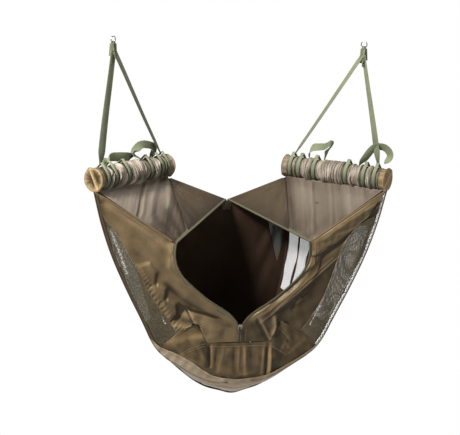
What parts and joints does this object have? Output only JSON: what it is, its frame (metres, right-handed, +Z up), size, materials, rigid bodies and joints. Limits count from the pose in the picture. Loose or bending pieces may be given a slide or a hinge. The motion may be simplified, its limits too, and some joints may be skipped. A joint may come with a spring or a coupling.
{
  "type": "weigh sling",
  "caption": "Floating fish weigh sling with foam floats, mesh windows, an open zip over the top and front, carrying handles and hanging straps with rings.",
  "frame": {"origin": "halfway between the centres of the two hanging rings", "axes": "+Z up, +Y from the front of the bag with the zip towards its rear wall, +X towards the float that is on the right in the front view"},
  "size_m": [0.8744, 0.2769, 1.0186],
  "materials": {
    "foam": "closed-cell foam",
    "sleeve_fabric": "gathered woven polyester",
    "cap_fabric": "soft satin weave",
    "webbing": "flat woven webbing",
    "lining_fabric": "coated lining",
    "satin_fabric": "soft sheen weave",
    "base_fabric": "soft sheen weave",
    "mesh_net": "open net",
    "zip_tape": "ribbed tape",
    "zip_teeth": "moulded coil",
    "plated_metal": "satin plated die casting",
    "steel_wire": "bright wire",
    "eyelet_metal": "dark enamel"
  },
  "bodies": {
    "bag_and_floats": {"base_panel": "base_fabric", "belly_strap": "webbing", "front_lower_panel": "satin_fabric", "front_zip_slider": "plated_metal", "left_cover_eyelet_1": "eyelet_metal", "left_cover_panel": "lining_fabric", "left_float_core": "foam", "left_float_sleeve": "sleeve_fabric", "left_front_border": "satin_fabric", "left_front_cap": "cap_fabric", "left_front_mesh": "mesh_net", "left_front_panel": "satin_fabric", "left_rear_cap": "cap_fabric", "left_rear_mesh": "mesh_net", "left_rear_wing": "satin_fabric", "left_side_mesh": "mesh_net", "left_side_panel": "satin_fabric", "left_zip_coil": "zip_teeth", "left_zip_tape": "zip_tape", "rear_panel": "satin_fabric", "rear_zip_slider": "plated_metal", "right_cover_eyelet_1": "eyelet_metal", "right_cover_eyelet_2": "eyelet_metal", "right_cover_eyelet_3": "eyelet_metal", "right_cover_eyelet_4": "eyelet_metal", "right_cover_panel": "lining_fabric", "right_float_core": "foam", "right_float_sleeve": "sleeve_fabric", "right_front_border": "satin_fabric", "right_front_cap": "cap_fabric", "right_front_mesh": "mesh_net", "right_front_panel": "satin_fabric", "right_rear_cap": "cap_fabric", "right_rear_mesh": "mesh_net", "right_rear_wing": "satin_fabric", "right_side_mesh": "mesh_net", "right_side_panel": "satin_fabric", "right_zip_coil": "zip_teeth", "right_zip_tape": "zip_tape"},
    "left_strap": {"left_hanging_strap": "webbing"},
    "left_ring": {"left_hanging_ring": "steel_wire"},
    "left_front_loop": {"left_front_handle": "webbing"},
    "left_rear_loop": {"left_rear_handle": "webbing"},
    "right_strap": {"right_hanging_strap": "webbing"},
    "right_ring": {"right_hanging_ring": "steel_wire"},
    "right_front_loop": {"right_front_handle": "webbing"},
    "right_rear_loop": {"right_rear_handle": "webbing"},
    "front_pull": {"front_zip_pull": "plated_metal"},
    "rear_pull": {"rear_zip_pull": "plated_metal"}
  },
  "joints": [
    {"name": "left_strap_swing", "type": "hinge", "parent": "bag_and_floats", "child": "left_strap", "pos_m": [-0.299, 0.00445, -0.37008], "axis": [0.7349, 0.6782, 0], "range_deg": [-75, 85]},
    {"name": "left_ring_swing", "type": "hinge", "parent": "left_strap", "child": "left_ring", "pos_m": [-0.35885, 0, -0.009], "axis": [0.7349, 0.6782, 0], "range_deg": [-75, 75]},
    {"name": "left_front_handle_swing", "type": "hinge", "parent": "bag_and_floats", "child": "left_front_loop", "pos_m": [-0.299, 0.00445, -0.37008], "axis": [0.7349, 0.6782, 0], "range_deg": [-95, 95]},
    {"name": "left_rear_handle_swing", "type": "hinge", "parent": "bag_and_floats", "child": "left_rear_loop", "pos_m": [-0.299, 0.00445, -0.37008], "axis": [0.7349, 0.6782, 0], "range_deg": [-95, 95]},
    {"name": "right_strap_swing", "type": "hinge", "parent": "bag_and_floats", "child": "right_strap", "pos_m": [0.299, 0.00445, -0.37008], "axis": [0.7349, -0.6782, 0], "range_deg": [-75, 85]},
    {"name": "right_ring_swing", "type": "hinge", "parent": "right_strap", "child": "right_ring", "pos_m": [0.35885, 0, -0.009], "axis": [0.7349, -0.6782, 0], "range_deg": [-75, 75]},
    {"name": "right_front_handle_swing", "type": "hinge", "parent": "bag_and_floats", "child": "right_front_loop", "pos_m": [0.299, 0.00445, -0.37008], "axis": [0.7349, -0.6782, 0], "range_deg": [-95, 95]},
    {"name": "right_rear_handle_swing", "type": "hinge", "parent": "bag_and_floats", "child": "right_rear_loop", "pos_m": [0.299, 0.00445, -0.37008], "axis": [0.7349, -0.6782, 0], "range_deg": [-95, 95]},
    {"name": "front_pull_swing", "type": "hinge", "parent": "bag_and_floats", "child": "front_pull", "pos_m": [0, -0.13864, -0.78737], "axis": [-1, 0, 0], "range_deg": [-4, 150]},
    {"name": "rear_pull_swing", "type": "hinge", "parent": "bag_and_floats", "child": "rear_pull", "pos_m": [0, 0.1046, -0.48], "axis": [1, 0, 0], "range_deg": [-4, 150]}
  ]
}
